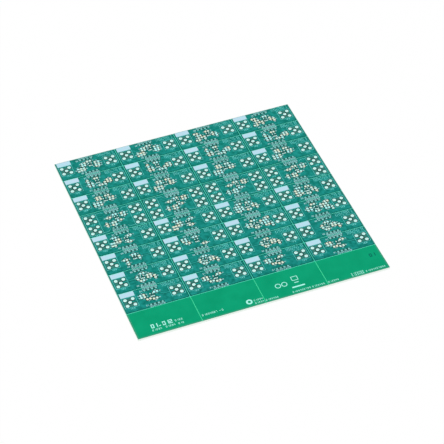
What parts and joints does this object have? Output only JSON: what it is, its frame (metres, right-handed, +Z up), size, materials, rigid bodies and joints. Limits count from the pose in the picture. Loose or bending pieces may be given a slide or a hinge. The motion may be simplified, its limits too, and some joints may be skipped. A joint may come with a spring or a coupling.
{
  "type": "evaluation board panel",
  "caption": "Flat square circuit-board panel, V-scored into small amplifier evaluation circuits with through-hole connector footprints, and a plain rail along the front edge.",
  "frame": {"origin": "middle of the underside, on the surface the panel lies on", "axes": "+X runs right along the front rail, +Y runs from the rail to the back edge, +Z is up, out of the component side"},
  "size_m": [0.1694, 0.1694, 0.0016],
  "materials": {
    "solder_mask": "satin green solder mask over glass-epoxy laminate",
    "white_ink": "matte screen print",
    "plated_copper": "bright solderable plating on the copper lands and hole walls",
    "cut_laminate": "raw glass-epoxy at the scores and the panel's edges"
  },
  "bodies": {
    "root": {"panel": "solder_mask", "label_blocks": "white_ink"}
  },
  "joints": []
}
